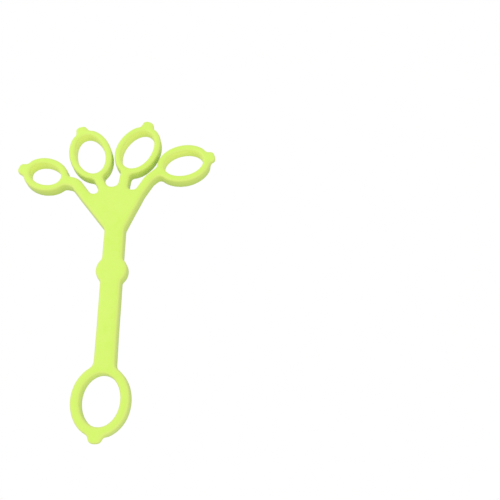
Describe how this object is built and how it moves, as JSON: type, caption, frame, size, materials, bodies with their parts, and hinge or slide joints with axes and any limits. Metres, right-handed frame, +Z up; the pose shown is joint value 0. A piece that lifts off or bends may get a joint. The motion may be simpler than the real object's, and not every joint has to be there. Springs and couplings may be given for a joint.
{
  "type": "finger exerciser",
  "caption": "Flat elastic hand exerciser: a palm web with oval finger loops on short arms, a strap with a round grip knob, and a larger thumb loop.",
  "frame": {"origin": "on the flat rest face, below the centre of the grip knob", "axes": "+Z up out of the rest face, +Y along the strap from the thumb loop to the finger loops, +X towards the index finger loop"},
  "size_m": [0.1123, 0.1827, 0.007],
  "materials": {
    "silicone": "satin, softly translucent, neon yellow-green"
  },
  "bodies": {
    "palm": {"palm_web": "silicone", "little_root_neck": "silicone", "ring_root_neck": "silicone", "middle_root_neck": "silicone", "index_root_neck": "silicone", "upper_strap": "silicone"},
    "little_arm_body": {"little_arm": "silicone", "little_loop_neck": "silicone"},
    "little_loop_body": {"little_loop": "silicone", "little_tab": "silicone"},
    "ring_arm_body": {"ring_arm": "silicone", "ring_loop_neck": "silicone"},
    "ring_loop_body": {"ring_loop": "silicone", "ring_tab": "silicone"},
    "middle_arm_body": {"middle_arm": "silicone", "middle_loop_neck": "silicone"},
    "middle_loop_body": {"middle_loop": "silicone", "middle_tab": "silicone"},
    "index_arm_body": {"index_arm": "silicone", "index_loop_neck": "silicone"},
    "index_loop_body": {"index_loop": "silicone", "index_tab": "silicone"},
    "knob_body": {"grip_knob": "silicone", "strap_flex_section": "silicone"},
    "strap_body": {"strap_middle": "silicone", "strap_stretch_section": "silicone"},
    "strap_end_body": {"strap_end": "silicone", "thumb_neck": "silicone"},
    "thumb_loop_body": {"thumb_loop": "silicone", "thumb_tab": "silicone"}
  },
  "joints": [
    {"name": "little_spread", "type": "hinge", "parent": "palm", "child": "little_arm_body", "pos_m": [-0.01865, 0.0463, 0.0035], "axis": [0, 0, 1], "range_deg": [0, 20], "stiffness_Nm_per_rad": 0.056, "deforming": ["little_root_neck"]},
    {"name": "ring_spread", "type": "hinge", "parent": "palm", "child": "ring_arm_body", "pos_m": [-0.00863, 0.05025, 0.0035], "axis": [0, 0, 1], "range_deg": [0, 8], "stiffness_Nm_per_rad": 0.056, "deforming": ["ring_root_neck"]},
    {"name": "middle_spread", "type": "hinge", "parent": "palm", "child": "middle_arm_body", "pos_m": [0.00284, 0.05219, 0.0035], "axis": [0, 0, -1], "range_deg": [0, 8], "stiffness_Nm_per_rad": 0.056, "deforming": ["middle_root_neck"]},
    {"name": "index_spread", "type": "hinge", "parent": "palm", "child": "index_arm_body", "pos_m": [0.01354, 0.04884, 0.0035], "axis": [0, 0, -1], "range_deg": [0, 20], "stiffness_Nm_per_rad": 0.056, "deforming": ["index_root_neck"]},
    {"name": "little_curl", "type": "hinge", "parent": "little_arm_body", "child": "little_loop_body", "pos_m": [-0.02705, 0.05359, 0.0035], "axis": [0.3616, 0.9323, 0], "range_deg": [-20, 60], "stiffness_Nm_per_rad": 0.05, "deforming": ["little_loop_neck"]},
    {"name": "ring_curl", "type": "hinge", "parent": "ring_arm_body", "child": "ring_loop_body", "pos_m": [-0.01091, 0.05421, 0.0035], "axis": [0.9466, 0.3223, 0], "range_deg": [-20, 60], "stiffness_Nm_per_rad": 0.05, "deforming": ["ring_loop_neck"]},
    {"name": "middle_curl", "type": "hinge", "parent": "middle_arm_body", "child": "middle_loop_body", "pos_m": [0.00265, 0.05723, 0.0035], "axis": [0.9191, -0.3939, 0], "range_deg": [-20, 60], "stiffness_Nm_per_rad": 0.05, "deforming": ["middle_loop_neck"]},
    {"name": "index_curl", "type": "hinge", "parent": "index_arm_body", "child": "index_loop_body", "pos_m": [0.01987, 0.06008, 0.0035], "axis": [0.2723, -0.9622, 0], "range_deg": [-20, 60], "stiffness_Nm_per_rad": 0.05, "deforming": ["index_loop_neck"]},
    {"name": "upper_bend", "type": "hinge", "parent": "palm", "child": "knob_body", "pos_m": [0, 0.0156, 0.0035], "axis": [-1, 0, 0], "range_deg": [-60, 60], "stiffness_Nm_per_rad": 0.05, "deforming": ["upper_strap"]},
    {"name": "lower_bend", "type": "hinge", "parent": "knob_body", "child": "strap_body", "pos_m": [0, -0.0142, 0.0035], "axis": [-1, 0, 0], "range_deg": [-60, 60], "stiffness_Nm_per_rad": 0.06, "deforming": ["strap_flex_section"]},
    {"name": "strap_stretch", "type": "slide", "parent": "strap_body", "child": "strap_end_body", "axis": [0, -1, 0], "range_m": [0, 0.015], "stiffness_N_per_m": 2500, "deforming": ["strap_stretch_section"]},
    {"name": "thumb_curl", "type": "hinge", "parent": "strap_end_body", "child": "thumb_loop_body", "pos_m": [0, -0.0474, 0.0035], "axis": [-1, 0, 0], "range_deg": [-60, 60], "stiffness_Nm_per_rad": 0.07, "deforming": ["thumb_neck"]}
  ],
  "couplings": [
    {"joint": "ring_spread", "follows": "little_spread", "ratio": 0.4},
    {"joint": "middle_spread", "follows": "index_spread", "ratio": 0.4}
  ]
}
